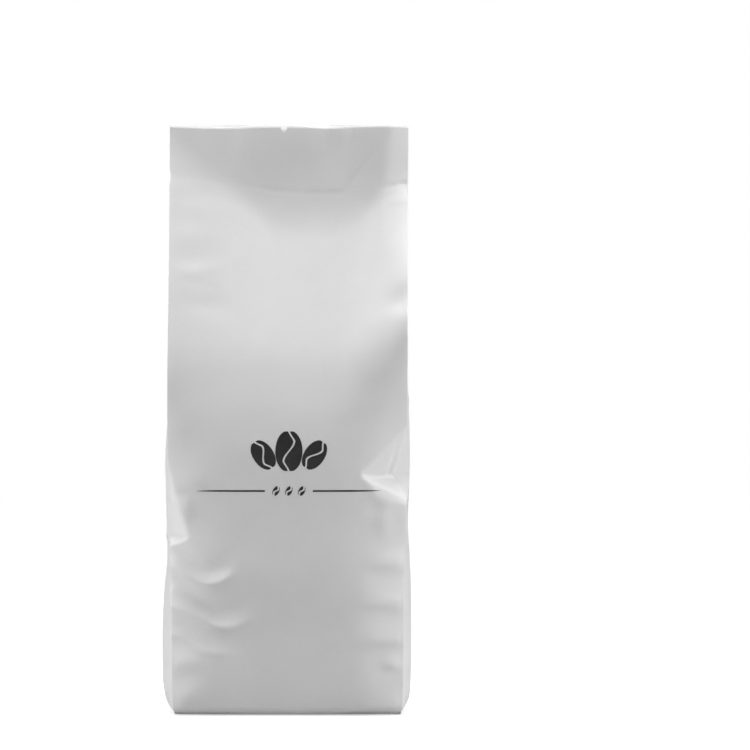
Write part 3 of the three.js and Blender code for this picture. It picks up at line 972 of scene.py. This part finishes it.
def bean_halves(x0, z0, length, width, tilt):
    """The two halves of a coffee bean, each a grid of places, with a wavy groove between them."""
    u, t = np.meshgrid(np.linspace(0, 1, BEAN["steps"]), np.linspace(-1, 1, BEAN["rows"])[1:-1])
    outline = width / 2 * np.sqrt(1 - t * t) ** BEAN["round"]
    swell = np.minimum(1, BEAN["groove_grows"] * (1 - np.abs(t)) + BEAN["groove_least"])
    groove = BEAN["groove_swing"] * width * np.sin(math.pi * t) * swell
    along = length / 2 * t
    halves = []
    for side in (-1, 1):
        inner = np.clip(groove + side * BEAN["groove"] / 2, -outline, outline)
        off = mix(inner, side * outline, u)
        x = x0 + off * math.cos(tilt) + along * math.sin(tilt)
        z = z0 - off * math.sin(tilt) + along * math.cos(tilt)
        halves.append((x[:, ::side], z[:, ::side]))
    return halves


def rule_half(middle, z0, length, side):
    """Half of the thin rule, on one side of its gap, thinning to a point at its far end."""
    across, along = np.meshgrid(np.linspace(-1, 1, RULE["steps"]), np.linspace(0, 1, RULE["rows"]))
    x = middle + side * (RULE["gap"] + length * along)
    z = z0 + across * RULE["thick"] / 2 * (1 - along ** RULE["taper"])
    return (x, z) if side < 0 else (x[::-1], z[::-1])


def printed_shapes(design):
    """Every printed shape as a grid of flat places, x across and z up, in millimetres."""
    middle, bean_z, length = (v / MM for v in (design.middle, design.bean_height, design.bean_length))
    rule_z, rule_length = design.rule_height / MM, design.rule_length / MM
    shapes = bean_halves(middle, bean_z + MIDDLE_BEAN["up"], length, length * MIDDLE_BEAN["width"], 0.0)
    for side in (-1, 1):
        shapes += bean_halves(
            middle + side * length * SIDE_BEAN["off"], bean_z - SIDE_BEAN["down"],
            length * SIDE_BEAN["length"], length * SIDE_BEAN["width"], side * SIDE_BEAN["tilt"])
    shapes += [rule_half(middle, rule_z, rule_length, side) for side in (-1, 1)]
    small = SMALL_BEAN["length"]
    for k in (-1, 0, 1):
        x = middle + k * SMALL_BEAN["pitch"]
        shapes += bean_halves(x, rule_z, small, small * SMALL_BEAN["width"], SMALL_BEAN["tilt"])
    return shapes


def softbox(name, place, target, size, power):
    data = bpy.data.lights.new(name, "AREA")
    data.shape = "RECTANGLE"
    data.size, data.size_y = size
    data.energy = power
    ob = linked(name, data)
    ob.location = place
    ob.rotation_euler = (Vector(target) - Vector(place)).to_track_quat("-Z", "Y").to_euler()
    ob.visible_camera = False


class COFFEEBAG_OT_stage(bpy.types.Operator):
    """Make the pale floor, the white surroundings, the soft lights and the camera"""

    bl_idname = "coffee_bag.stage"
    bl_label = "Studio Stage"

    def execute(self, context):
        scene, studio = context.scene, context.scene.studio_setup
        half = FLOOR["half"]
        corners = [(-half, -half, 0), (half, -half, 0), (half, half, 0), (-half, half, 0)]
        floor = mesh_object("floor", corners, [(0, 1, 2, 3)])
        floor.data.materials.append(floor_material(studio))
        self.surroundings(scene, studio)
        for name, light in LIGHTS.items():
            softbox(name, *light, getattr(studio, name))
        self.camera(scene)
        scene.view_settings.view_transform = "Standard"
        return {"FINISHED"}

    def surroundings(self, scene, studio):
        """A little light from all round, and plain white behind the bag."""
        scene.world = bpy.data.worlds.new("studio")
        n, white = Nodes(scene.world), (1, 1, 1, 1)
        ambient = n.add("Background", Color=white, Strength=studio.ambient)
        backdrop = n.add("Background", Color=white, Strength=1.0)
        n.add("OutputWorld", Surface=n.by_camera(backdrop, ambient))

    def camera(self, scene):
        data = bpy.data.cameras.new("camera")
        data.lens, data.sensor_width = CAMERA["lens"], CAMERA["sensor"]
        ob = scene.camera = linked("camera", data)
        scale = CAMERA["pixels_per_mm"] / MM
        distance = CAMERA["side"] / scale * data.lens / data.sensor_width
        middle = CAMERA["side"] / 2
        ob.location = ((middle - CAMERA["axis_x"]) / scale, CAMERA["plane_y"] - distance,
                       (CAMERA["floor_y"] - middle) / scale)
        ob.rotation_euler = (math.pi / 2, 0, 0)


STEPS = (COFFEEBAG_OT_film, COFFEEBAG_OT_back_seal, COFFEEBAG_OT_bottom_seal, COFFEEBAG_OT_front_print,
         COFFEEBAG_OT_stage)
GROUPS = {"bag_shape": BagShape, "film_finish": FilmFinish, "print_design": PrintDesign,
          "studio_setup": StudioSetup}


class COFFEEBAG_PT_panel(bpy.types.Panel):
    bl_idname = "COFFEEBAG_PT_panel"
    bl_label = "Coffee Bag"
    bl_space_type = "VIEW_3D"
    bl_region_type = "UI"
    bl_category = "Coffee Bag"

    def draw(self, context):
        for step in STEPS:
            self.layout.operator(step.bl_idname)
        for name, group in GROUPS.items():
            box = self.layout.box()
            for prop in group.__annotations__:
                box.prop(getattr(context.scene, name), prop)


def register():
    for cls in (*GROUPS.values(), *STEPS, COFFEEBAG_PT_panel):
        bpy.utils.register_class(cls)
    for name, group in GROUPS.items():
        setattr(bpy.types.Scene, name, PointerProperty(type=group))


def unregister():
    for name in GROUPS:
        delattr(bpy.types.Scene, name)
    for cls in (COFFEEBAG_PT_panel, *reversed(STEPS), *reversed(GROUPS.values())):
        bpy.utils.unregister_class(cls)


def main():
    register()
    bpy.ops.coffee_bag.film()
    bpy.ops.coffee_bag.back_seal()
    bpy.ops.coffee_bag.bottom_seal()
    bpy.ops.coffee_bag.front_print()
    bpy.ops.coffee_bag.stage()


if __name__ == "__main__":
    main()
